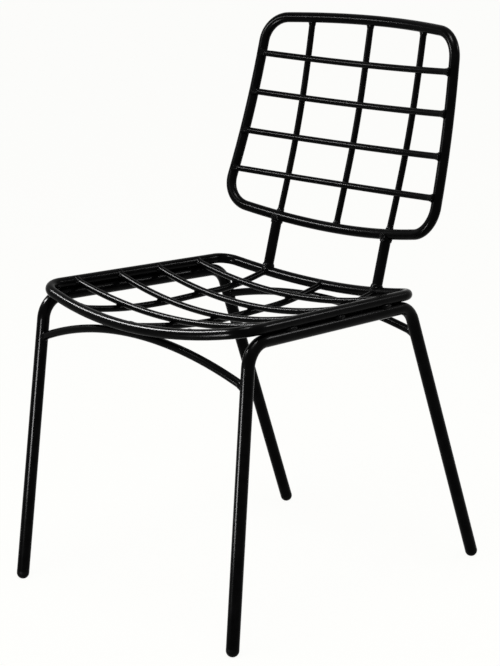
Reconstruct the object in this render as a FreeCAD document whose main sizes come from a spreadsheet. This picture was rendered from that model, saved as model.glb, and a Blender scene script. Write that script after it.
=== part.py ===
import FreeCAD, Part
import math
import os
import Sketcher

Vector = FreeCAD.Vector

# A dining chair welded from round steel: two bent tube hoops make the four legs, two arched
# rods tie them, a dished ring with a wire grid is the seat, and a second ring on two posts is
# the back. Millimetres and degrees. The chair faces -Y, +X is the sitter's left, Z is up, and
# the origin is on the floor, midway between the feet.

doc = FreeCAD.newDocument("wire_mesh_chair")
sheet = doc.addObject("Spreadsheet::Sheet", "sizes")

SIZES = [
    # Stock
    ("leg_tube_diameter", 19, "tube of the two leg hoops, outside"),
    ("leg_tube_wall", 1.5, "wall of that tube"),
    ("seat_ring_diameter", 16, "round bar of the seat ring"),
    ("back_ring_diameter", 16, "round bar of the back ring"),
    ("post_diameter", 16, "round bar of the two posts"),
    ("stretcher_diameter", 12, "round bar of the two arched stretchers"),
    ("seat_wire_diameter", 10, "wire of the seat grid"),
    ("back_wire_diameter", 10, "wire of the back grid"),
    ("lay_gap", 0.15, "clearance between rods that lie against each other"),
    # Leg hoops, measured in the hoop's own plane
    ("hoop_half_width", 212.5, "from the middle of the chair to the hoop, at the floor"),
    ("hoop_toe", 2.6, "how far the hoop turns in towards the rear"),
    ("hoop_lean", 1.4, "how far the hoop leans in towards the top"),
    ("foot_spread", 558.5, "front foot to rear foot, between the centres of their domes"),
    ("front_knee_out", 233, "front knee ahead of the middle of the feet"),
    ("front_knee_height", 425.5, "front knee above the centres of the domes"),
    ("rear_knee_out", 121.5, "rear knee behind the middle of the feet"),
    ("rear_knee_height", 418.5, "rear knee above the centres of the domes"),
    ("front_knee_radius", 35, "bend of the front knee"),
    ("rear_knee_radius", 35, "bend of the rear knee"),
    # Feet
    ("foot_rim", 3, "straight collar of the foot plug below the tube"),
    ("foot_flat_depth", 0.9, "how much of the dome is flat on the floor"),
    ("plug_stem_length", 18, "stem of the plug inside the tube"),
    ("plug_stem_clearance", 0.8, "between the stem and the bore"),
    ("plug_barb_clearance", 0.1, "between the barbs and the bore"),
    ("plug_barb_height", 3, "length of one barb along the stem"),
    ("plug_barb_pitch", 5, "from one barb to the next"),
    ("plug_barb_count", 3, "barbs on one stem"),
    # Seat ring
    ("seat_front_out", 236.5, "front corner of the ring ahead of the middle of the feet"),
    ("seat_rear_out", 130.5, "rear corner of the ring behind the middle of the feet"),
    ("seat_front_bow", 20, "front rail bows forward by this at its middle"),
    ("seat_rear_bow", 17.5, "rear rail bows backward by this at its middle"),
    ("seat_front_dip", 24.5, "front rail dips by this at its middle"),
    ("seat_rear_dip", 19, "rear rail dips by this at its middle"),
    ("seat_front_corner", 35.5, "bend of the front corners"),
    ("seat_rear_corner", 29.5, "bend of the rear corners"),
    # Seat wires
    ("cross_wire_1_at", -175, "first wire from the front, along the side rail"),
    ("cross_wire_2_at", -92, "second wire"),
    ("cross_wire_3_at", -14, "third wire"),
    ("cross_wire_4_at", 68, "fourth wire"),
    ("cross_wire_1_dip", 25, "dish of the first wire below the side rails"),
    ("cross_wire_2_dip", 30.5, "dish of the second wire"),
    ("cross_wire_3_dip", 28.5, "dish of the third wire"),
    ("cross_wire_4_dip", 23, "dish of the fourth wire"),
    ("cross_wire_rise", 1.5, "wire ends above the middle of the side rail"),
    ("long_wire_rise", 1.5, "wire ends above the middle of the front and rear rail"),
    ("outer_wire_offset", 113.5, "outer long wires, posts and outer uprights from the middle"),
    # Stretchers
    ("front_stretcher_height", -61, "ends of the front arch, up from the front knees"),
    ("front_crown_setback", 0.3, "gap between the crown of the front arch and the front rail"),
    ("rear_stretcher_height", -44.5, "ends of the rear arch, up from the rear knees"),
    ("rear_stretcher_rise", 25.5, "rise of the rear arch"),
    # Back ring, measured in the back's own plane
    ("back_recline", 14.8, "back plane from upright"),
    ("back_foot_y", 19, "lower edge of the back plane behind the rear corners of the seat ring"),
    ("back_foot_height", 89.5, "lower edge of the back plane above the rear corners"),
    ("back_height", 296, "between the lower and upper corners"),
    ("back_bottom_half_width", 213.5, "half the width between the lower corners"),
    ("back_top_half_width", 191.5, "half the width between the upper corners"),
    ("back_bottom_bow", 16, "bottom rail bows down by this at its middle"),
    ("back_top_bow", 12, "top rail bows up by this at its middle"),
    ("back_bottom_hollow", 28.5, "bottom rail is hollow by this, for the sitter's back"),
    ("back_top_hollow", 23.5, "top rail is hollow by this"),
    ("back_side_hollow", 7, "side rails are hollow by this"),
    ("back_bottom_corner", 41.5, "bend of the lower corners"),
    ("back_top_corner", 44, "bend of the upper corners"),
    # Back wires
    ("back_wire_1_at", 52, "lowest cross wire above the lower corners"),
    ("back_wire_2_at", 114, "second cross wire"),
    ("back_wire_3_at", 177, "third cross wire"),
    ("back_wire_4_at", 239, "highest cross wire"),
    ("back_wire_advance", 6.5, "cross wires lie ahead of the middle of the ring"),
    ("upright_setback", 3.5, "upright wire ends lie behind the middle of the ring"),
    # Welds
    ("collar_width", 3.2, "weld round a rod's end, wider than the rod"),
    ("collar_lip", 0.8, "weld at its thin end, wider than the rod"),
    ("collar_length", 4, "weld up the rod from the surface that it stands on"),
    ("nugget_diameter", 8, "weld where two wires cross"),
    ("bead_length", 22, "weld between seat ring and leg hoop"),
    ("bead_width", 7, "width of that weld"),
    ("bead_front_at", -150, "front weld along the side rail"),
    ("bead_middle_at", -45, "middle weld"),
    ("bead_rear_at", 60, "rear weld"),
]

for row, (alias, value, remark) in enumerate(SIZES, start=1):
    sheet.set("A%d" % row, alias)
    sheet.set("B%d" % row, str(value))
    sheet.setAlias("B%d" % row, alias)
    sheet.set("C%d" % row, remark)
doc.recompute()


def size(alias):
    """One size of the sheet as a plain number."""
    return float(sheet.get(alias))


# How closely points are looked for along a rod, and what counts as straight
BISECTIONS = 50
SETTLING_STEPS = 25
SHORTEST_RUN = 0.001
STRAIGHT_TURN = 0.0001

subparts = []


def keep(feature, label):
    """Give a finished sub-part its label and put it on the list of files."""
    feature.Label = label
    subparts.append(feature)
    return feature


# Lines and arcs of bent rods


def unit(vector):
    return vector * (1.0 / vector.Length)


def mirrored(point):
    """The same point on the other side of the chair."""
    return Vector(-point.x, point.y, point.z)


def tangent_length(before, corner, after, radius):
    """How far from a corner a bend of this radius starts."""
    return radius / math.tan((before - corner).getAngle(after - corner) / 2)


def bend(before, corner, after, tangent):
    """Start, middle and end of the arc that leaves both legs of a corner at one distance."""
    to_before = unit(before - corner)
    to_after = unit(after - corner)
    half_angle = to_before.getAngle(to_after) / 2
    radius = tangent * math.tan(half_angle)
    inward = unit(to_before + to_after) * (radius / math.sin(half_angle) - radius)
    return corner + to_before * tangent, corner + inward, corner + to_after * tangent


def straight(start, end):
    """The straight run between two points, or nothing where they meet."""
    if (end - start).Length < SHORTEST_RUN:
        return []
    return [Part.LineSegment(start, end).toShape()]


def arc(start, middle, end):
    return [Part.Arc(start, middle, end).toShape()]


def closed_rod(corners, middles, radii):
    """Edges of a bent ring, each side straight or bowed through its middle point."""
    count = len(corners)
    ends = corners[1:] + corners[:1]
    peaks = []
    for corner, end, middle in zip(corners, ends, middles):
        chord_middle = (corner + end) * 0.5
        peaks.append(chord_middle if middle is None else middle * 2 - chord_middle)

    def bowed(i):
        reach = (peaks[i] - corners[i]).Length - tangents[i]
        other_reach = (peaks[i] - ends[i]).Length - tangents[(i + 1) % count]
        return bend(corners[i], peaks[i], ends[i], min(reach, other_reach))

    # A bowed side's end tangents meet at its peak, which moves until the arc passes its middle
    for step in range(SETTLING_STEPS):
        tangents = []
        for i in range(count):
            tangents.append(tangent_length(peaks[i - 1], corners[i], peaks[i], radii[i]))
        for i in range(count):
            if middles[i] is not None:
                peaks[i] = peaks[i] + middles[i] - bowed(i)[1]

    edges = []
    for i in range(count):
        corner_bend = bend(peaks[i - 1], corners[i], peaks[i], tangents[i])
        next_bend_start = ends[i] + unit(peaks[i] - ends[i]) * tangents[(i + 1) % count]
        edges += arc(*corner_bend)
        if middles[i] is None:
            edges += straight(corner_bend[2], next_bend_start)
        else:
            side = bowed(i)
            edges += straight(corner_bend[2], side[0])
            edges += arc(*side)
            edges += straight(side[2], next_bend_start)
    return edges


def circle_tangent(first, second, third, place):
    """Direction at a place on the circle through three points."""
    normal = (second - first).cross(third - second)
    if normal.Length < SHORTEST_RUN:
        return unit(third - first)
    centre = Part.Circle(first, second, third).Center
    tangent = unit(normal.cross(place - centre))
    return tangent if tangent.dot(third - first) > 0 else tangent * -1


def touching_arc(start, corner, end):
    """An arc whose end tangents meet at a corner that is as far from both ends."""
    if (corner - start).getAngle(end - corner) < STRAIGHT_TURN:
        return straight(start, end)
    return arc(*bend(start, corner, end, (start - corner).Length))


def smooth_rod(points):
    """Edges of a gently bent wire through the points: two tangent arcs from each to the next."""
    directions = []
    for i, point in enumerate(points):
        j = min(max(i, 1), len(points) - 2)
        directions.append(circle_tangent(points[j - 1], points[j], points[j + 1], point))
    edges = []
    for i in range(len(points) - 1):
        start, end = points[i], points[i + 1]
        leaving, arriving = directions[i], directions[i + 1]
        step = end - start
        turn = 2 * (1 - leaving.dot(arriving))
        push = step.dot(leaving + arriving)
        reach = step.dot(step) / (push + math.sqrt(push * push + turn * step.dot(step)))
        near = start + leaving * reach
        far = end - arriving * reach
        joint = (near + far) * 0.5
        edges += touching_arc(start, near, joint)
        edges += touching_arc(joint, far, end)
    return edges


def place_on(edges, measure):
    """Point and direction where a measure of the point changes its sign along the edges."""
    for edge in edges:
        low, high = edge.FirstParameter, edge.LastParameter
        low_side = measure(edge.valueAt(low))
        if low_side * measure(edge.valueAt(high)) > 0:
            continue
        for step in range(BISECTIONS):
            middle = (low + high) / 2
            if low_side * measure(edge.valueAt(middle)) > 0:
                low = middle
            else:
                high = middle
        return edge.valueAt(high), edge.tangentAt(high)
    raise ValueError("the rod doesn't reach that place")


def place_at_x(edges, x):
    return place_on(edges, lambda point: point.x - x)


def rod_ends(edges):
    """Both ends of a rod's centre line, each with its direction into the rod."""
    first, last = edges[0], edges[-1]
    start, end = first.FirstParameter, last.LastParameter
    return [
        (first.valueAt(start), first.tangentAt(start)),
        (last.valueAt(end), last.tangentAt(end) * -1),
    ]


# Rods, cuts and groups


def aimed(base, direction):
    """A placement that turns the Z axis to a direction."""
    return FreeCAD.Placement(base, FreeCAD.Rotation(Vector(0, 0, 1), direction))


def rod(name, edges, diameter):
    """A round rod swept along its edges."""
    path = doc.addObject("Part::Feature", name + "_path")
    path.Shape = Part.Wire(edges)
    first = edges[0]
    section = doc.addObject("Part::Circle", name + "_section")
    section.setExpression("Radius", "sizes.%s / 2" % diameter)
    start = first.FirstParameter
    # A quarter turn puts the rod's seam on its upper or lower side
    quarter_turn = FreeCAD.Placement(Vector(), FreeCAD.Rotation(Vector(0, 0, 1), 90))
    section.Placement = aimed(first.valueAt(start), first.tangentAt(start)) * quarter_turn
    sweep = doc.addObject("Part::Sweep", name)
    sweep.Sections = [section]
    sweep.Spine = (path, [])
    sweep.Solid = True
    return sweep


def cut(name, base, tool):
    """What is left of one shape outside another."""
    result = doc.addObject("Part::Cut", name)
    result.Base = base
    result.Tool = tool
    result.Refine = False
    return result


def group(name, features):
    result = doc.addObject("Part::Compound", name)
    result.Links = features
    return result


def round_bar(name, start, end, diameter):
    """A straight round bar between two points."""
    bar = doc.addObject("Part::Cylinder", name)
    bar.setExpression("Radius", "sizes.%s / 2" % diameter)
    bar.Height = (end - start).Length
    bar.Placement = aimed(start, end - start)
    return bar


# Leg hoops: each a single tube with two knee bends, bent in one plane


def hoop_placement(side):
    turned = FreeCAD.Rotation(side * size("hoop_toe"), -side * size("hoop_lean"), 0)
    height = size("leg_tube_diameter") / 2 - size("foot_flat_depth")
    return FreeCAD.Placement(Vector(side * size("hoop_half_width"), 0, height), turned)


def hoop_point(side, along, up):
    """A point of the hoop's plane: along is backward from the middle of the feet."""
    return hoop_placement(side).multVec(Vector(0, along, up))


FRONT_FOOT = Vector(-size("foot_spread") / 2, 0, 0)
FRONT_KNEE = Vector(-size("front_knee_out"), size("front_knee_height"), 0)
REAR_KNEE = Vector(size("rear_knee_out"), size("rear_knee_height"), 0)
REAR_FOOT = Vector(size("foot_spread") / 2, 0, 0)


def origin_plane(body, role):
    return [plane for plane in body.Origin.OriginFeatures if plane.Role == role][0]


def end_at(sketch, geometry, point):
    """Which end of a sketch line or arc lies at a point: 1 for its start, 2 for its end."""
    return 1 if (sketch.getPoint(geometry, 1) - point).Length < SHORTEST_RUN else 2


def bound(sketch, constraint, expression):
    """Add a constraint whose value follows the sheet."""
    index = sketch.addConstraint(constraint)
    sketch.setExpression("Constraints[%d]" % index, expression)


def hoop_path(body):
    """The tube's centre line: front leg, knee, rail, knee, rear leg."""
    sketch = body.newObject("Sketcher::SketchObject", body.Name + "_path")
    sketch.AttachmentSupport = [(origin_plane(body, "YZ_Plane"), "")]
    sketch.MapMode = "FlatFace"
    front_tangent = tangent_length(FRONT_FOOT, FRONT_KNEE, REAR_KNEE, size("front_knee_radius"))
    rear_tangent = tangent_length(FRONT_KNEE, REAR_KNEE, REAR_FOOT, size("rear_knee_radius"))
    front_end = FRONT_FOOT + unit(FRONT_KNEE - FRONT_FOOT) * size("foot_rim")
    rear_end = REAR_FOOT + unit(REAR_KNEE - REAR_FOOT) * size("foot_rim")
    front_bend = bend(FRONT_FOOT, FRONT_KNEE, REAR_KNEE, front_tangent)
    rear_bend = bend(FRONT_KNEE, REAR_KNEE, REAR_FOOT, rear_tangent)
    front_leg = sketch.addGeometry(Part.LineSegment(front_end, front_bend[0]))
    front_arc = sketch.addGeometry(Part.Arc(*front_bend))
    rail = sketch.addGeometry(Part.LineSegment(front_bend[2], rear_bend[0]))
    rear_arc = sketch.addGeometry(Part.Arc(*rear_bend))
    rear_leg = sketch.addGeometry(Part.LineSegment(rear_bend[2], rear_end))
    joints = [
        (front_leg, front_arc, front_bend[0]),
        (front_arc, rail, front_bend[2]),
        (rail, rear_arc, rear_bend[0]),
        (rear_arc, rear_leg, rear_bend[2]),
    ]
    for one, other, point in joints:
        ends = one, end_at(sketch, one, point), other, end_at(sketch, other, point)
        sketch.addConstraint(Sketcher.Constraint("Tangent", *ends))
    # Construction points hold the centres of the foot domes and the corners of the knees
    points = [
        (FRONT_FOOT, "-sizes.foot_spread / 2", "0", [front_leg]),
        (FRONT_KNEE, "-sizes.front_knee_out", "sizes.front_knee_height", [front_leg, rail]),
        (REAR_KNEE, "sizes.rear_knee_out", "sizes.rear_knee_height", [rail, rear_leg]),
        (REAR_FOOT, "sizes.foot_spread / 2", "0", [rear_leg]),
    ]
    numbers = []
    for point, along, up, lines in points:
        number = sketch.addGeometry(Part.Point(point), True)
        numbers.append(number)
        from_origin = Sketcher.Constraint("DistanceX", -1, 1, number, 1, point.x)
        bound(sketch, from_origin, along)
        from_origin = Sketcher.Constraint("DistanceY", -1, 1, number, 1, point.y)
        bound(sketch, from_origin, up)
        for line in lines:
            sketch.addConstraint(Sketcher.Constraint("PointOnObject", number, 1, line))
    for number, leg, end in ((numbers[0], front_leg, front_end), (numbers[3], rear_leg, rear_end)):
        ends = number, 1, leg, end_at(sketch, leg, end)
        bound(sketch, Sketcher.Constraint("Distance", *ends, size("foot_rim")), "sizes.foot_rim")
    for knee, radius in ((front_arc, "front_knee_radius"), (rear_arc, "rear_knee_radius")):
        bound(sketch, Sketcher.Constraint("Radius", knee, size(radius)), "sizes." + radius)
    return sketch


def tube_section(body, path, name, radius, expression):
    """A circle square to the start of the path."""
    sketch = body.newObject("Sketcher::SketchObject", name)
    sketch.AttachmentSupport = [(path, "Edge1")]
    sketch.MapMode = "NormalToEdge"
    circle = sketch.addGeometry(Part.Circle(Vector(0, 0, 0), Vector(0, 0, 1), radius))
    sketch.addConstraint(Sketcher.Constraint("Coincident", circle, 3, -1, 1))
    bound(sketch, Sketcher.Constraint("Radius", circle, radius), expression)
    return sketch


def leg_hoop(label, side):
    body = doc.addObject("PartDesign::Body", label)
    path = hoop_path(body)
    outer = size("leg_tube_diameter") / 2
    bore = outer - size("leg_tube_wall")
    outer_size = "sizes.leg_tube_diameter / 2"
    bore_size = "sizes.leg_tube_diameter / 2 - sizes.leg_tube_wall"
    tube = body.newObject("PartDesign::AdditivePipe", label + "_tube")
    tube.Profile = tube_section(body, path, label + "_outside", outer, outer_size)
    tube.Spine = path
    hollow = body.newObject("PartDesign::SubtractivePipe", label + "_bore")
    hollow.Profile = tube_section(body, path, label + "_inside", bore, bore_size)
    hollow.Spine = path
    turned = "rotation(%d * sizes.hoop_toe; %d * sizes.hoop_lean; 0)" % (side, -side)
    base = "vector(%d * sizes.hoop_half_width; 0; %s - sizes.foot_flat_depth)" % (side, outer_size)
    body.setExpression("Placement", "placement(%s; %s)" % (base, turned))
    return keep(body, label)


leg_hoop("leg_hoop_left", 1)
leg_hoop("leg_hoop_right", -1)

# Solid bars where the tubes are, for shaping what is welded to them
leg_bars = []
rail_bars = []
for side in (1, -1):
    knees = [hoop_point(side, point.x, point.y) for point in (FRONT_KNEE, REAR_KNEE)]
    feet = [hoop_point(side, point.x, point.y) for point in (FRONT_FOOT, REAR_FOOT)]
    for foot, knee in zip(feet, knees):
        leg_bars.append(round_bar("leg_bar", foot, knee, "leg_tube_diameter"))
    rail_bars.append(round_bar("rail_bar", knees[0], knees[1], "leg_tube_diameter"))
all_leg_bars = group("all_leg_bars", leg_bars)
all_rail_bars = group("all_rail_bars", rail_bars)


# Foot plugs: a moulded dome that closes each tube end, held by barbs in its bore


def foot_plug_body(label):
    body = doc.addObject("PartDesign::Body", label + "_moulding")
    sketch = body.newObject("Sketcher::SketchObject", label + "_profile")
    sketch.AttachmentSupport = [(origin_plane(body, "XZ_Plane"), "")]
    sketch.MapMode = "FlatFace"
    radius = size("leg_tube_diameter") / 2
    stem = radius - size("leg_tube_wall") - size("plug_stem_clearance")
    rim = size("foot_rim")
    top = rim + size("plug_stem_length")
    halfway = radius * math.sqrt(0.5)
    corners = [
        Vector(radius, 0, 0),
        Vector(radius, rim, 0),
        Vector(stem, rim, 0),
        Vector(stem, top, 0),
        Vector(0, top, 0),
        Vector(0, -radius, 0),
    ]
    lines = []
    for start, end in zip(corners, corners[1:]):
        lines.append(sketch.addGeometry(Part.LineSegment(start, end)))
    dome_points = corners[-1], Vector(halfway, -halfway, 0), corners[0]
    dome = sketch.addGeometry(Part.Arc(*dome_points))
    for one, other in zip(lines, lines[1:]):
        sketch.addConstraint(Sketcher.Constraint("Coincident", one, 2, other, 1))
    low_end = end_at(sketch, dome, corners[-1])
    sketch.addConstraint(Sketcher.Constraint("Coincident", lines[-1], 2, dome, low_end))
    sketch.addConstraint(Sketcher.Constraint("Coincident", dome, 3 - low_end, lines[0], 1))
    sketch.addConstraint(Sketcher.Constraint("Coincident", dome, 3, -1, 1))
    sketch.addConstraint(Sketcher.Constraint("PointOnObject", lines[0], 1, -1))
    sketch.addConstraint(Sketcher.Constraint("PointOnObject", lines[3], 2, -2))
    for line, kind in zip(lines, ("Vertical", "Horizontal", "Vertical", "Horizontal", "Vertical")):
        sketch.addConstraint(Sketcher.Constraint(kind, line))
    stem_size = "sizes.leg_tube_diameter / 2 - sizes.leg_tube_wall - sizes.plug_stem_clearance"
    measures = [
        ("DistanceX", 0, 1, radius, "sizes.leg_tube_diameter / 2"),
        ("DistanceY", 0, 2, rim, "sizes.foot_rim"),
        ("DistanceX", 2, 1, stem, stem_size),
        ("DistanceY", 3, 2, top, "sizes.foot_rim + sizes.plug_stem_length"),
    ]
    for kind, line, end, value, expression in measures:
        bound(sketch, Sketcher.Constraint(kind, -1, 1, lines[line], end, value), expression)
    turning = body.newObject("PartDesign::Revolution", label + "_turning")
    turning.Profile = sketch
    turning.ReferenceAxis = (sketch, ["V_Axis"])

    barb = body.newObject("Sketcher::SketchObject", label + "_barb_profile")
    barb.AttachmentSupport = [(origin_plane(body, "XZ_Plane"), "")]
    barb.MapMode = "FlatFace"
    tip = radius - size("leg_tube_wall") - size("plug_barb_clearance")
    low = rim + size("plug_barb_pitch") - size("plug_barb_height")
    core = stem / 2
    barb_corners = [
        Vector(core, low, 0),
        Vector(tip, low, 0),
        Vector(stem, low + size("plug_barb_height"), 0),
        Vector(core, low + size("plug_barb_height"), 0),
    ]
    for start, end in zip(barb_corners, barb_corners[1:] + barb_corners[:1]):
        barb.addGeometry(Part.LineSegment(start, end))
    for line in range(4):
        barb.addConstraint(Sketcher.Constraint("Coincident", line, 2, (line + 1) % 4, 1))
    barb.addConstraint(Sketcher.Constraint("Horizontal", 0))
    barb.addConstraint(Sketcher.Constraint("Horizontal", 2))
    barb.addConstraint(Sketcher.Constraint("Vertical", 3))
    tip_size = "sizes.leg_tube_diameter / 2 - sizes.leg_tube_wall - sizes.plug_barb_clearance"
    barb_low = "sizes.foot_rim + sizes.plug_barb_pitch - sizes.plug_barb_height"
    measures = [
        ("DistanceX", 0, 1, core, "(%s) / 2" % stem_size),
        ("DistanceX", 0, 2, tip, tip_size),
        ("DistanceX", 1, 2, stem, stem_size),
        ("DistanceY", 0, 1, low, barb_low),
        ("DistanceY", 1, 2, barb_corners[2].y, "sizes.foot_rim + sizes.plug_barb_pitch"),
    ]
    for kind, line, end, value, expression in measures:
        bound(barb, Sketcher.Constraint(kind, -1, 1, line, end, value), expression)
    barb_turning = body.newObject("PartDesign::Revolution", label + "_barb")
    barb_turning.Profile = barb
    barb_turning.ReferenceAxis = (barb, ["V_Axis"])
    barbs = body.newObject("PartDesign::LinearPattern", label + "_barbs")
    barbs.Originals = [barb_turning]
    barbs.Direction = (barb, ["V_Axis"])
    count = int(size("plug_barb_count"))
    barbs.Occurrences = count
    barbs.setExpression("Length", "sizes.plug_barb_pitch * %d" % (count - 1))
    body.Tip = barbs
    return body


# The floor shapes the flat of each dome
floor_block = doc.addObject("Part::Box", "floor_block")
floor_block.setExpression("Length", "4 * sizes.hoop_half_width")
floor_block.setExpression("Width", "2 * sizes.foot_spread")
floor_block.setExpression("Height", "sizes.leg_tube_diameter")
floor_corner = "vector(-2 * sizes.hoop_half_width; -sizes.foot_spread; -sizes.leg_tube_diameter)"
floor_block.setExpression("Placement.Base", floor_corner)

for side, side_name in ((1, "left"), (-1, "right")):
    for foot, knee, end_name in ((FRONT_FOOT, FRONT_KNEE, "front"), (REAR_FOOT, REAR_KNEE, "rear")):
        label = "foot_plug_%s_%s" % (end_name, side_name)
        moulding = foot_plug_body(label)
        centre = hoop_point(side, foot.x, foot.y)
        moulding.Placement = aimed(centre, hoop_point(side, knee.x, knee.y) - centre)
        keep(cut(label, moulding, floor_block), label)


# Seat ring: a bent bar that lies on the rails of both hoops and dips between them

RAIL_SLOPE = math.atan2(REAR_KNEE.y - FRONT_KNEE.y, REAR_KNEE.x - FRONT_KNEE.x)
RAIL_TO_RING = (size("leg_tube_diameter") + size("seat_ring_diameter")) / 2 + size("lay_gap")


def side_rail(side, along):
    """A point of the ring's straight side, above the hoop's rail."""
    rail_height = FRONT_KNEE.y + (along - FRONT_KNEE.x) * math.tan(RAIL_SLOPE)
    return hoop_point(side, along, rail_height + RAIL_TO_RING / math.cos(RAIL_SLOPE))


def middle_of(left, back, down):
    """The point midway between a left point and its mirror image, moved back and down."""
    return Vector(0, left.y + back, left.z - down)


front_left = side_rail(1, -size("seat_front_out"))
rear_left = side_rail(1, size("seat_rear_out"))
front_middle = middle_of(front_left, -size("seat_front_bow"), size("seat_front_dip"))
rear_middle = middle_of(rear_left, size("seat_rear_bow"), size("seat_rear_dip"))
front_corner, rear_corner = size("seat_front_corner"), size("seat_rear_corner")
seat_edges = closed_rod(
    [mirrored(front_left), front_left, rear_left, mirrored(rear_left)],
    [front_middle, None, rear_middle, None],
    [front_corner, front_corner, rear_corner, rear_corner],
)
seat_ring = keep(rod("seat_ring", seat_edges, "seat_ring_diameter"), "seat_ring")
# The ring's edges between the straight sides are its front rail and its rear rail
front_rail = [edge for edge in seat_edges if edge.CenterOfMass.y < front_left.y / 2]
rear_rail = [edge for edge in seat_edges if edge.CenterOfMass.y > rear_left.y / 2]

# Seat grid: four dished cross wires, and three long wires that are welded under them

cross_edges = []
cross_rods = []
for number in (1, 2, 3, 4):
    name = "cross_wire_%d" % number
    left = side_rail(1, size(name + "_at"))
    middle = middle_of(left, 0, size(name + "_dip"))
    left = left + Vector(0, 0, size("cross_wire_rise"))
    edges = arc(mirrored(left), middle, left)
    cross_edges.append(edges)
    cross_rods.append(rod("seat_" + name + "_rod", edges, "seat_wire_diameter"))

GRID_STEP = size("seat_wire_diameter") + size("lay_gap")
wire_lift = Vector(0, 0, size("long_wire_rise"))
long_edges = []
long_rods = []
seat_crossings = []
for name, x in (("right", -1), ("centre", 0), ("left", 1)):
    x = x * size("outer_wire_offset")
    points = [place_at_x(front_rail, x)[0] + wire_lift]
    for edges in cross_edges:
        above, direction = place_at_x(edges, x)
        below = above - Vector(0, 0, GRID_STEP / abs(direction.x))
        points.append(below)
        seat_crossings.append((below, above))
    points.append(place_at_x(rear_rail, x)[0] + wire_lift)
    edges = smooth_rod(points)
    long_edges.append(edges)
    long_rods.append(rod("seat_long_wire_%s_rod" % name, edges, "seat_wire_diameter"))

for number, wire in enumerate(cross_rods, start=1):
    label = "seat_cross_wire_%d" % number
    keep(cut(label, wire, seat_ring), label)

# Stretchers: arched bars between the legs; the front one's crown lies in the corner under the
# centre wire and behind the front rail

CROWN_STEP = (size("seat_wire_diameter") + size("stretcher_diameter")) / 2 + size("lay_gap")
CROWN_REACH = (size("seat_ring_diameter") + size("stretcher_diameter")) / 2
CROWN_REACH = CROWN_REACH + size("front_crown_setback")


def crown_at(y):
    """The centre wire's point at a place from front to rear, and the crown's centre under it."""
    wire, direction = place_on(long_edges[1], lambda point: point.y - y)
    return wire, wire - Vector(0, 0, CROWN_STEP / abs(direction.y))


nearest, farthest = front_middle.y, front_middle.y + 2 * CROWN_REACH
for step in range(BISECTIONS):
    halfway = (nearest + farthest) / 2
    wire_over_crown, front_crown = crown_at(halfway)
    if (front_crown - front_middle).Length < CROWN_REACH:
        nearest = halfway
    else:
        farthest = halfway


def leg_point(side, foot, knee, height):
    """The point of a leg's centre line at a height from its knee, in the hoop's plane."""
    point = knee + (knee - foot) * (height / knee.y)
    return hoop_point(side, point.x, point.y)


front_end = leg_point(1, FRONT_FOOT, FRONT_KNEE, size("front_stretcher_height"))
rear_end = leg_point(1, REAR_FOOT, REAR_KNEE, size("rear_stretcher_height"))
rear_crown = middle_of(rear_end, 0, -size("rear_stretcher_rise"))
stretcher_rods = []
stretcher_joints = []
for name, end, crown in (("front", front_end, front_crown), ("rear", rear_end, rear_crown)):
    edges = arc(mirrored(end), crown, end)
    bar = rod(name + "_stretcher_rod", edges, "stretcher_diameter")
    stretcher_rods.append(bar)
    for start, direction in rod_ends(edges):
        joint = start, direction, all_leg_bars, "stretcher_diameter", "leg_tube_diameter"
        stretcher_joints.append(joint)
    keep(cut(name + "_stretcher", bar, all_leg_bars), name + "_stretcher")

# Back ring: a reclined bar ring, hollow across and up its height

RECLINE = math.radians(size("back_recline"))
UP_THE_BACK = Vector(0, math.sin(RECLINE), math.cos(RECLINE))
BEHIND = Vector(0, math.cos(RECLINE), -math.sin(RECLINE))
BACK_FOOT = middle_of(rear_left, size("back_foot_y"), -size("back_foot_height"))


def back_point(across, up, behind):
    return BACK_FOOT + Vector(across, 0, 0) + UP_THE_BACK * up + BEHIND * behind


def height_up_back(point):
    return (point - BACK_FOOT).dot(UP_THE_BACK)


def depth_behind(point):
    return (point - BACK_FOOT).dot(BEHIND)


bottom_half = size("back_bottom_half_width")
top_half = size("back_top_half_width")
back_height = size("back_height")
side_half = (bottom_half + top_half) / 2
left_middle = back_point(side_half, back_height / 2, size("back_side_hollow"))
bottom_middle = back_point(0, -size("back_bottom_bow"), size("back_bottom_hollow"))
top_middle = back_point(0, back_height + size("back_top_bow"), size("back_top_hollow"))
bottom_corner, top_corner = size("back_bottom_corner"), size("back_top_corner")
back_edges = closed_rod(
    [
        back_point(-bottom_half, 0, 0),
        back_point(bottom_half, 0, 0),
        back_point(top_half, back_height, 0),
        back_point(-top_half, back_height, 0),
    ],
    [bottom_middle, left_middle, top_middle, mirrored(left_middle)],
    [bottom_corner, bottom_corner, top_corner, top_corner],
)
back_ring = keep(rod("back_ring", back_edges, "back_ring_diameter"), "back_ring")
# Each rail's edges are found by their height up the back, and the left side's by their place
quarter = back_height / 4
bottom_rail = [edge for edge in back_edges if height_up_back(edge.CenterOfMass) < quarter]
top_rail = [edge for edge in back_edges if height_up_back(edge.CenterOfMass) > 3 * quarter]
left_side = [edge for edge in back_edges if edge.CenterOfMass.x > top_half / 2]

# Back grid: four cross wires in front of three uprights

back_cross_edges = []
back_cross_rods = []
for number in (1, 2, 3, 4):
    name = "back_wire_%d" % number
    height = size(name + "_at")
    end = place_on(left_side, lambda point: height_up_back(point) - height)[0]
    end = end - BEHIND * size("back_wire_advance")
    hollow = size("back_bottom_hollow")
    hollow = hollow + (size("back_top_hollow") - hollow) * height / back_height
    middle = back_point(0, height, depth_behind(end) + hollow)
    edges = arc(mirrored(end), middle, end)
    back_cross_edges.append(edges)
    back_cross_rods.append(rod("back_cross_wire_%d_rod" % number, edges, "back_wire_diameter"))

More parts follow.
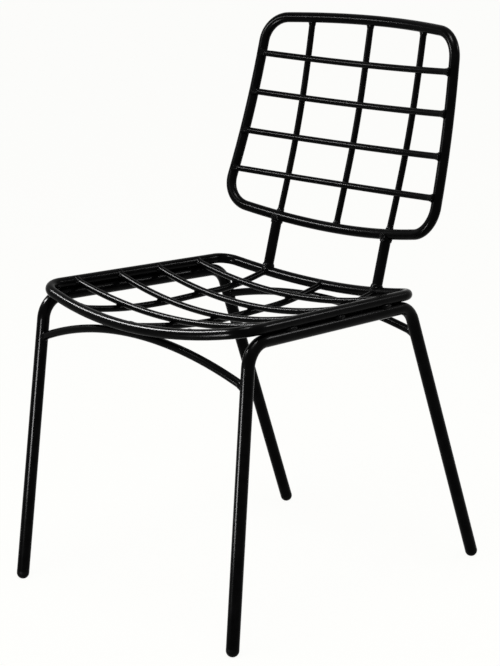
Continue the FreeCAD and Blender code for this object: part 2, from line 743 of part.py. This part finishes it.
BACK_GRID_STEP = size("back_wire_diameter") + size("lay_gap")
upright_shift = BEHIND * size("upright_setback")
upright_edges = []
upright_rods = []
back_crossings = []
for name, x in (("right", -1), ("centre", 0), ("left", 1)):
    x = x * size("outer_wire_offset")
    points = [place_at_x(bottom_rail, x)[0] + upright_shift]
    for edges in back_cross_edges:
        ahead, direction = place_at_x(edges, x)
        behind = ahead + BEHIND * (BACK_GRID_STEP / abs(direction.x))
        points.append(behind)
        back_crossings.append((behind, ahead))
    points.append(place_at_x(top_rail, x)[0] + upright_shift)
    edges = smooth_rod(points)
    upright_edges.append(edges)
    upright_rods.append(rod("back_upright_wire_%s_rod" % name, edges, "back_wire_diameter"))

for number, wire in enumerate(back_cross_rods, start=1):
    label = "back_cross_wire_%d" % number
    keep(cut(label, wire, back_ring), label)
for name, wire in zip(("right", "centre", "left"), upright_rods):
    label = "back_upright_wire_" + name
    keep(cut(label, wire, back_ring), label)

# Posts: straight bars from the seat ring's rear rail to the back ring's bottom rail

post_bars = []
post_joints = []
for name, x in (("left", 1), ("right", -1)):
    x = x * size("outer_wire_offset")
    foot = place_at_x(rear_rail, x)[0]
    head = place_at_x(bottom_rail, x)[0]
    bar = round_bar("post_bar_" + name, foot, head, "post_diameter")
    post_bars.append(bar)
    post_joints.append((foot, head - foot, seat_ring, "post_diameter", "seat_ring_diameter"))
    post_joints.append((head, foot - head, back_ring, "post_diameter", "back_ring_diameter"))
    label = "back_post_" + name
    keep(cut(label, cut(label + "_on_seat", bar, seat_ring), back_ring), label)


# The outer long wires end against the posts' feet
all_posts = group("all_posts", post_bars)
for name, wire in zip(("right", "centre", "left"), long_rods):
    label = "seat_long_wire_" + name
    keep(cut(label, cut(label + "_on_ring", wire, seat_ring), all_posts), label)

# Welds


def collar(name, start, direction, rod_size, carrier_size):
    """The weld round the end of a rod that stands on a round bar or tube."""
    cone = doc.addObject("Part::Cone", name)
    cone.setExpression("Radius1", "sizes.%s / 2 + sizes.collar_width" % rod_size)
    cone.setExpression("Radius2", "sizes.%s / 2 + sizes.collar_lip" % rod_size)
    cone.setExpression("Height", "sizes.%s / 2 + sizes.collar_length" % carrier_size)
    # A half turn about its own axis keeps the cone's seam out of the bar that carries the rod
    half_turn = FreeCAD.Rotation(Vector(0, 0, 1), 180)
    cone.Placement = aimed(start, direction) * FreeCAD.Placement(Vector(), half_turn)
    return cone


def nugget(name, below, above):
    """The weld between two crossing wires, from the middle of one to the middle of the other."""
    return round_bar(name, below, above, "nugget_diameter")


def end_welds(label, joints, solids):
    """Collars round rod ends: each joint is a start, a direction, the carrier and both sizes."""
    collars = []
    for start, direction, carrier, rod_size, carrier_size in joints:
        cone = collar(label + "_collar", start, direction, rod_size, carrier_size)
        collars.append(cut(label + "_on_carrier", cone, carrier))
    outside = cut(label, group(label + "_collars", collars), group(label + "_solids", solids))
    return keep(outside, label)


def grid_joints(wires, carrier, wire_size, carrier_size):
    joints = []
    for edges in wires:
        for start, direction in rod_ends(edges):
            joints.append((start, direction, carrier, wire_size, carrier_size))
    return joints


def crossing_welds(label, crossings, rods, other_rods):
    nuggets = [nugget(label + "_nugget", below, above) for below, above in crossings]
    outside = cut(label + "_outside", group(label + "_nuggets", nuggets), group(label + "_a", rods))
    return keep(cut(label, outside, group(label + "_b", other_rods)), label)


seat_joints = grid_joints(
    cross_edges + long_edges, seat_ring, "seat_wire_diameter", "seat_ring_diameter"
)
post_welds = end_welds("post_welds", post_joints, post_bars + long_rods)
crown_nugget = nugget("crown_nugget", front_crown, wire_over_crown)
crown_outside = cut("crown_weld_outside", crown_nugget, seat_ring)
crown_solids = group("crown_weld_solids", [stretcher_rods[0], long_rods[1]])
keep(cut("crown_weld", crown_outside, crown_solids), "crown_weld")
seat_solids = cross_rods + long_rods + post_bars
seat_solids = seat_solids + [post_welds, stretcher_rods[0], crown_nugget]
end_welds("seat_wire_end_welds", seat_joints, seat_solids)
crossing_welds("seat_crossing_welds", seat_crossings, cross_rods, long_rods)
back_joints = grid_joints(
    back_cross_edges + upright_edges, back_ring, "back_wire_diameter", "back_ring_diameter"
)
end_welds("back_wire_end_welds", back_joints, back_cross_rods + upright_rods)
crossing_welds("back_crossing_welds", back_crossings, back_cross_rods, upright_rods)
end_welds("stretcher_welds", stretcher_joints, stretcher_rods)

# Beads in the grooves between the seat ring and the hoops' rails, on the outer side
beads = []
for side in (1, -1):
    for place in ("bead_front_at", "bead_middle_at", "bead_rear_at"):
        along = size(place)
        on_ring = side_rail(side, along)
        rail_height = FRONT_KNEE.y + (along - FRONT_KNEE.x) * math.tan(RAIL_SLOPE)
        on_rail = hoop_point(side, along, rail_height)
        groove = on_rail + (on_ring - on_rail) * (size("leg_tube_diameter") / 2 / RAIL_TO_RING)
        rail_direction = side_rail(side, along + 1) - on_ring
        outward = rail_direction.cross(on_ring - on_rail) * side
        bead = doc.addObject("Part::Ellipsoid", "bead")
        bead.setExpression("Radius1", "sizes.bead_width / 2")
        bead.setExpression("Radius2", "sizes.bead_length / 2")
        bead.setExpression("Radius3", "sizes.bead_width / 2")
        turned = FreeCAD.Rotation(rail_direction, outward, on_ring - on_rail, "XZY")
        bead.Placement = FreeCAD.Placement(groove + unit(outward) * size("bead_width") * 0.7, turned)
        beads.append(bead)
outside = cut("seat_ring_welds_outside", group("beads", beads), seat_ring)
keep(cut("seat_ring_welds", outside, all_rail_bars), "seat_ring_welds")

doc.recompute()

for feature in doc.Objects:
    if "Invalid" in feature.State or "Error" in feature.State:
        raise RuntimeError("failed: " + feature.Label)
for feature in subparts:
    if feature.Shape.isNull() or not feature.Shape.isValid() or not feature.Shape.Solids:
        raise RuntimeError("no valid solid: " + feature.Label)

os.makedirs("parts", exist_ok=True)
for feature in subparts:
    feature.Shape.exportStep(os.path.join("parts", feature.Label + ".step"))
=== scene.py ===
import bpy
import bmesh
import math
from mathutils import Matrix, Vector, noise
from mathutils.bvhtree import BVHTree


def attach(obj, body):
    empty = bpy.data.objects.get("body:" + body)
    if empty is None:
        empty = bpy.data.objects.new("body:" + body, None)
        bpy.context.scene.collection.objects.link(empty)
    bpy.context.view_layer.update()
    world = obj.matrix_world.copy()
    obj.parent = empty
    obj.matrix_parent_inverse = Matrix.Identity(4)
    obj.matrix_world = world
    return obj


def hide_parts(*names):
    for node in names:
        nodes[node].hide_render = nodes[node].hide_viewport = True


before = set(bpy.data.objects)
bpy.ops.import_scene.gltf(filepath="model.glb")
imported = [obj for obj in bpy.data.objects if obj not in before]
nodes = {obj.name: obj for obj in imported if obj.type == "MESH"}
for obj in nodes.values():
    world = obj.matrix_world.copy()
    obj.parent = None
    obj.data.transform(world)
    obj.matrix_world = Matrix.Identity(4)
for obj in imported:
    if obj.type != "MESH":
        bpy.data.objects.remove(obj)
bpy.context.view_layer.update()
scene = bpy.context.scene
scene.view_settings.view_transform = "Standard"


# Leg hoops
# Two bent steel tubes make the four legs and the rails under the seat. The whole chair is welded
# first and then coated in one go with black thermoset powder, baked to a smooth gloss skin.


def new_group(name, inputs, outputs):
    """An empty node group, from inputs as (name, kind, default) and outputs as (name, kind)."""
    group = bpy.data.node_groups.new(name, "ShaderNodeTree")
    for socket, kind, value in inputs:
        made = group.interface.new_socket(name=socket, in_out="INPUT", socket_type=kind)
        if value is not None:
            made.default_value = value
    for socket, kind in outputs:
        group.interface.new_socket(name=socket, in_out="OUTPUT", socket_type=kind)
    return group, group.nodes.new("NodeGroupInput"), group.nodes.new("NodeGroupOutput")


def feed(tree, value, slot):
    """Sets an input to a plain number, or links a socket to it."""
    if isinstance(value, (int, float)):
        slot.default_value = value
    else:
        tree.links.new(value, slot)


def math_node(tree, operation, *values):
    """A math node fed by sockets or plain numbers."""
    node = tree.nodes.new("ShaderNodeMath")
    node.operation = operation
    for slot, value in zip(node.inputs, values):
        feed(tree, value, slot)
    return node.outputs[0]


def noise_node(tree, place, scale, detail):
    """Noise over a place, with a scale of about so many lumps per metre."""
    node = tree.nodes.new("ShaderNodeTexNoise")
    node.inputs["Detail"].default_value = detail
    feed(tree, scale, node.inputs["Scale"])
    tree.links.new(place, node.inputs["Vector"])
    return node.outputs["Fac"]


def ramp_node(tree, value, low, high, low_out=0.0, high_out=1.0):
    """Maps a value's range smoothly to another."""
    node = tree.nodes.new("ShaderNodeMapRange")
    node.interpolation_type = "SMOOTHSTEP"
    ends = {"From Min": low, "From Max": high, "To Min": low_out, "To Max": high_out}
    for socket, number in ends.items():
        node.inputs[socket].default_value = number
    tree.links.new(value, node.inputs["Value"])
    return node.outputs["Result"]


# The coat's skin: orange peel, slow flow-out waves and dust nibs as one height, a shine that
# drifts along the rods, and a faint mottle of the pigment. The scales are lumps per metre.
WAVE_SCALE, WAVE_SHARE = 90.0, 2.0
NIB_SCALE, NIB_TOP, NIB_FOOT, NIB_SHARE = 130.0, 0.03, 0.10, 0.5
SHINE_SCALE, MOTTLE_SCALE = 14.0, 55.0
PEEL_DETAIL, WAVE_DETAIL, DRIFT_DETAIL = 1.5, 1.0, 3.0

skin_group, skin_in, skin_out = new_group(
    "powder coat skin",
    [
        ("Place", "NodeSocketVector", None),
        ("Peel Scale", "NodeSocketFloat", 420.0),
        ("Nibs", "NodeSocketFloat", 0.5),
    ],
    [
        ("Height", "NodeSocketFloat"),
        ("Shine", "NodeSocketFloat"),
        ("Mottle", "NodeSocketFloat"),
    ],
)
skin_place = skin_in.outputs["Place"]
peel = noise_node(skin_group, skin_place, skin_in.outputs["Peel Scale"], PEEL_DETAIL)
waves = noise_node(skin_group, skin_place, WAVE_SCALE, WAVE_DETAIL)
nib_cells = skin_group.nodes.new("ShaderNodeTexVoronoi")
nib_cells.inputs["Scale"].default_value = NIB_SCALE
skin_group.links.new(skin_place, nib_cells.inputs["Vector"])
nibs = ramp_node(skin_group, nib_cells.outputs["Distance"], NIB_TOP, NIB_FOOT, 1.0, 0.0)
nibs = math_node(skin_group, "MULTIPLY", nibs, skin_in.outputs["Nibs"])
height = math_node(skin_group, "MULTIPLY_ADD", waves, WAVE_SHARE, peel)
height = math_node(skin_group, "MULTIPLY_ADD", nibs, NIB_SHARE, height)
shine = noise_node(skin_group, skin_place, SHINE_SCALE, DRIFT_DETAIL)
mottle = noise_node(skin_group, skin_place, MOTTLE_SCALE, DRIFT_DETAIL)
for output, value in (("Height", height), ("Shine", shine), ("Mottle", mottle)):
    skin_group.links.new(value, skin_out.inputs[output])

# The coat's weak gloss keeps the black deep although white surroundings shine in it. The skin's
# relief is in metres, and the noises are spread from these ranges.
GLOSS = 0.02
SKIN_RELIEF = 0.0004
MOTTLE_RANGE = 0.35, 0.7
SHINE_RANGE = 0.35, 0.65


def coat_material(name, dark, pale, smooth, dull, peel_scale, nibs, bump):
    """A black skin that drives its own colour between dark and pale, its roughness between
    smooth and dull, and its bump."""
    material = bpy.data.materials.new(name)
    material.use_nodes = True
    tree = material.node_tree
    shader = tree.nodes["Principled BSDF"]
    skin = tree.nodes.new("ShaderNodeGroup")
    skin.node_tree = skin_group
    place = tree.nodes.new("ShaderNodeTexCoord").outputs["Object"]
    tree.links.new(place, skin.inputs["Place"])
    skin.inputs["Peel Scale"].default_value = peel_scale
    skin.inputs["Nibs"].default_value = nibs
    colour = tree.nodes.new("ShaderNodeMix")
    colour.data_type = "RGBA"
    paleness = ramp_node(tree, skin.outputs["Mottle"], *MOTTLE_RANGE)
    tree.links.new(paleness, colour.inputs["Factor"])
    colour.inputs["A"].default_value = (*dark, 1)
    colour.inputs["B"].default_value = (*pale, 1)
    tree.links.new(colour.outputs["Result"], shader.inputs["Base Color"])
    rough = ramp_node(tree, skin.outputs["Shine"], *SHINE_RANGE, smooth, dull)
    tree.links.new(rough, shader.inputs["Roughness"])
    shader.inputs["Specular IOR Level"].default_value = GLOSS
    lift = tree.nodes.new("ShaderNodeBump")
    lift.inputs["Strength"].default_value = bump
    lift.inputs["Distance"].default_value = SKIN_RELIEF
    tree.links.new(skin.outputs["Height"], lift.inputs["Height"])
    tree.links.new(lift.outputs["Normal"], shader.inputs["Normal"])
    return material


def give_skin(names, material):
    """Gives CAD nodes a material."""
    for name in names:
        for slot in nodes[name].material_slots:
            slot.material = material


powder = {"dark": (0.0004, 0.0004, 0.00045), "pale": (0.0014, 0.0014, 0.0015), "bump": 0.03}
tube_coat = coat_material(
    "gloss tube coat", smooth=0.16, dull=0.22, peel_scale=330.0, nibs=0.4, **powder
)
hoops = ["leg_hoop_left", "leg_hoop_right"]
give_skin(hoops, tube_coat)


# Foot plugs
# A domed plastic plug closes the lower end of each leg, pushed into the tube on barbs. Its
# moulded skin is paler, duller and coarser than the coat.

plug_plastic = coat_material(
    "moulded plug plastic",
    dark=(0.001, 0.001, 0.001),
    pale=(0.003, 0.003, 0.003),
    smooth=0.3,
    dull=0.42,
    peel_scale=260.0,
    nibs=0.2,
    bump=0.06,
)
give_skin([name for name in nodes if name.startswith("foot_plug")], plug_plastic)


# Stretchers, seat and back
# Round bar and wire, bent cold on a former and resistance welded into grids. Bar takes the powder
# in a slightly finer peel than tube does, and thin wire in a finer one still.

bar_coat = coat_material(
    "gloss bar coat", smooth=0.17, dull=0.23, peel_scale=380.0, nibs=0.4, **powder
)
wire_coat = coat_material(
    "gloss wire coat", smooth=0.19, dull=0.26, peel_scale=460.0, nibs=0.5, **powder
)
wires = [name for name in nodes if "_wire_" in name and not name.endswith("welds")]
bars = [
    "front_stretcher",
    "rear_stretcher",
    "seat_ring",
    "back_ring",
    "back_post_left",
    "back_post_right",
]
give_skin(bars, bar_coat)
give_skin(wires, wire_coat)


# Welds
# Small beads of weld metal round each rod end, in the corners of each wire crossing and in the
# grooves between the seat ring and the leg hoops. Left as welded, lumpy, under the same coat.

weld_coat = coat_material(
    "gloss weld coat", smooth=0.16, dull=0.24, peel_scale=420.0, nibs=0.5, **powder
)

# The skins of all the tubes, bars and wires in one search tree, to thin the beads towards them
corners, faces = [], []
for name in hoops + bars + wires:
    rod = nodes[name]
    start = len(corners)
    corners += [rod.matrix_world @ vertex.co for vertex in rod.data.vertices]
    faces += [[start + corner for corner in face.vertices] for face in rod.data.polygons]
rods = BVHTree.FromPolygons(corners, faces)

# Lengths are in metres. The lumps are a coarse noise with a finer, lower one on top.
SEAM_GAP = 0.000002
VOXEL = 0.0005
SMOOTHINGS = 30
LUMPS_PER_METRE = 300
FINER, FINE_SHARE = 2.7, 0.4
SEED_STEP = 17.3


def swollen_mesh(node, swell):
    """A node's mesh with its faces joined up and its skin pushed outwards."""
    mesh = node.data.copy()
    shape = bmesh.new()
    shape.from_mesh(mesh)
    bmesh.ops.remove_doubles(shape, verts=shape.verts, dist=SEAM_GAP)
    bmesh.ops.recalc_face_normals(shape, faces=shape.faces)
    shape.normal_update()
    for vertex in shape.verts:
        vertex.co += vertex.normal * swell
    shape.to_mesh(mesh)
    shape.free()
    return mesh


def rounded_mesh(piece):
    """The piece's mesh built anew from voxels and smoothed."""
    remesh = piece.modifiers.new("remesh", "REMESH")
    remesh.mode = "VOXEL"
    remesh.voxel_size = VOXEL
    smooth = piece.modifiers.new("smooth", "SMOOTH")
    smooth.factor = 0.5
    smooth.iterations = SMOOTHINGS
    graph = bpy.context.evaluated_depsgraph_get()
    rounded = bpy.data.meshes.new_from_object(piece.evaluated_get(graph))
    piece.modifiers.clear()
    return rounded


def thin_over_rods(mesh, to_world, share):
    """Lowers what stands out of the rods to a share of its height over them."""
    to_piece = to_world.inverted()
    for vertex in mesh.vertices:
        place = to_world @ vertex.co
        spot, facing, _, _ = rods.find_nearest(place)
        if (place - spot).dot(facing) > 0:
            vertex.co = to_piece @ (spot + (place - spot) * share)


def add_lumps(mesh, lump, seed):
    """Makes a mesh lumpy, up to about the given height."""
    normals = [vertex.normal.copy() for vertex in mesh.vertices]
    for vertex, normal in zip(mesh.vertices, normals):
        place = vertex.co * LUMPS_PER_METRE + Vector((seed, 0, 0))
        fine = FINE_SHARE * noise.noise(place * FINER)
        vertex.co += normal * lump * (noise.noise(place) + fine)


def weld_bead(node_name, swell, share, lump, seed):
    """A weld node's solids, swollen into the rods beside them, rounded off, thinned and made
    lumpy."""
    node = nodes[node_name]
    name = node_name.replace("welds", "weld_beads").replace("crown_weld", "crown_weld_bead")
    piece = bpy.data.objects.new(name, swollen_mesh(node, swell))
    scene.collection.objects.link(piece)
    piece.matrix_world = node.matrix_world
    rounded = rounded_mesh(piece)
    thin_over_rods(rounded, node.matrix_world, share)
    add_lumps(rounded, lump, seed)
    rounded.shade_smooth()
    rounded.materials.clear()
    rounded.materials.append(weld_coat)
    piece.data = rounded
    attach(piece, "root")
    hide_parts(node_name)


for number, (node_name, swell, share, lump) in enumerate(
    (
        ("seat_ring_welds", 0.0006, 1.0, 0.0003),
        ("stretcher_welds", 0.0002, 0.6, 0.0002),
        ("crown_weld", 0.0004, 0.8, 0.0002),
        ("post_welds", 0.0003, 0.8, 0.0007),
        ("seat_wire_end_welds", 0.0001, 0.5, 0.0001),
        ("seat_crossing_welds", 0.0005, 0.8, 0.0002),
        ("back_wire_end_welds", 0.0001, 0.45, 0.0001),
        ("back_crossing_welds", 0.0005, 0.8, 0.0002),
    )
):
    weld_bead(node_name, swell, share, lump, number * SEED_STEP)


# Studio
# A white sweep without corners: floor and surroundings are one plain white, and the floor keeps
# the chair's soft shadow. The sheet is matt paper, lit by the room and a large soft box.

# A look at the background finds its white, which in the floor leaves a small share to the lit
# paper, for the shadow. The floor reaches so many metres each way.
WHITE = (0.995, 0.995, 0.979, 1)
PAPER = (0.9, 0.9, 0.89, 1)
GLOW_SHARE = 0.95
ROOM_LIGHT = 0.6
FLOOR_REACH = 40


def background_rays(tree):
    """1 for rays that look at the background, directly or in gloss and glass, 0 for others."""
    path = tree.nodes.new("ShaderNodeLightPath").outputs
    seen = math_node(tree, "MAXIMUM", path["Is Camera Ray"], path["Is Glossy Ray"])
    return math_node(tree, "MAXIMUM", seen, path["Is Transmission Ray"])


def mix_surfaces(tree, share, first, second, output):
    """Links two shaders, and the share of the second, to a material's or world's output."""
    mix = tree.nodes.new("ShaderNodeMixShader")
    tree.links.new(share, mix.inputs[0])
    tree.links.new(first.outputs[0], mix.inputs[1])
    tree.links.new(second.outputs[0], mix.inputs[2])
    tree.links.new(mix.outputs[0], tree.nodes[output].inputs["Surface"])


floor_mesh = bpy.data.meshes.new("floor")
floor_mesh.from_pydata(
    [(x * FLOOR_REACH, y * FLOOR_REACH, 0) for x, y in ((-1, -1), (1, -1), (1, 1), (-1, 1))],
    [],
    [(0, 1, 2, 3)],
)
floor = bpy.data.objects.new("floor", floor_mesh)
scene.collection.objects.link(floor)
floor_paper = bpy.data.materials.new("white floor paper")
floor_paper.use_nodes = True
tree = floor_paper.node_tree
paper = tree.nodes["Principled BSDF"]
paper.inputs["Base Color"].default_value = PAPER
paper.inputs["Roughness"].default_value = 1.0
paper.inputs["Specular IOR Level"].default_value = 0.0
glow = tree.nodes.new("ShaderNodeEmission")
glow.inputs["Color"].default_value = WHITE
glow_share = math_node(tree, "MULTIPLY", background_rays(tree), GLOW_SHARE)
mix_surfaces(tree, glow_share, paper, glow, "Material Output")
floor_mesh.materials.append(floor_paper)

room = bpy.data.worlds.new("studio")
scene.world = room
room.use_nodes = True
tree = room.node_tree
room_light = tree.nodes["Background"]
room_light.inputs["Color"].default_value = (1, 1, 1, 1)
room_light.inputs["Strength"].default_value = ROOM_LIGHT
backdrop = tree.nodes.new("ShaderNodeBackground")
backdrop.inputs["Color"].default_value = WHITE
mix_surfaces(tree, background_rays(tree), room_light, backdrop, "World Output")


def soft_box(name, place, target, width, height, power):
    """A rectangular soft light that faces a point and isn't seen itself."""
    lamp = bpy.data.lights.new(name, "AREA")
    lamp.shape = "RECTANGLE"
    lamp.size = width
    lamp.size_y = height
    lamp.energy = power
    holder = bpy.data.objects.new(name, lamp)
    holder.location = place
    facing = Vector(target) - Vector(place)
    holder.rotation_euler = facing.to_track_quat("-Z", "Y").to_euler()
    holder.visible_camera = False
    scene.collection.objects.link(holder)
    return holder


soft_box("top soft box", (0.3, -0.6, 3.2), (0, 0, 0.4), 1.2, 1.2, 60)

# Strip lights draw the thin highlights along the tubes: one that stands close before the legs,
# one that looks down from the left for the seat and back, and two dim ones, behind and above,
# for the side rails and the bends. They shine in the gloss alone, so they light no colours.
for name, place, target, width, height, power in (
    ("front strip", (-0.10, -0.98, 0.19), (0, -0.28, 0.19), 0.18, 0.28, 38),
    ("left strip", (-0.72, -0.62, 1.12), (-0.72, -0.82, 0.14), 0.5, 0.2, 125),
    ("rear strip", (1.1, 1.4, 1.55), (0.2, 0, 0.45), 0.4, 0.3, 18),
    ("high strip", (0.22, -0.2, 1.9), (0.22, -0.2, 0.4), 0.25, 0.25, 24),
):
    strip = soft_box(name, place, target, width, height, power)
    strip.visible_diffuse = False


# Camera
# Set where the photograph was taken from: three metres off, to the chair's front left. The focal
# length and the shift come from the photograph's framing and are in its pixels.

AZIMUTH = math.radians(44.30)
ELEVATION = math.radians(13.27)
DISTANCE = 3.21212
LOOKED_AT = Vector((0, -0.01243, 0.39476))
PICTURE_HEIGHT = 666
FOCAL_LENGTH = 2141.82
SHIFT_X, SHIFT_Y = -0.68, -12.04
SENSOR_WIDTH = 36

away = Vector(
    (
        math.sin(AZIMUTH) * math.cos(ELEVATION),
        -math.cos(AZIMUTH) * math.cos(ELEVATION),
        math.sin(ELEVATION),
    )
)
camera_data = bpy.data.cameras.new("camera")
camera_data.sensor_width = SENSOR_WIDTH
camera_data.sensor_fit = "AUTO"
camera_data.lens = FOCAL_LENGTH / PICTURE_HEIGHT * SENSOR_WIDTH
camera_data.shift_x = SHIFT_X / PICTURE_HEIGHT
camera_data.shift_y = SHIFT_Y / PICTURE_HEIGHT
camera = bpy.data.objects.new("camera", camera_data)
camera.location = LOOKED_AT + away * DISTANCE
camera.rotation_euler = (-away).to_track_quat("-Z", "Y").to_euler()
scene.collection.objects.link(camera)
scene.camera = camera
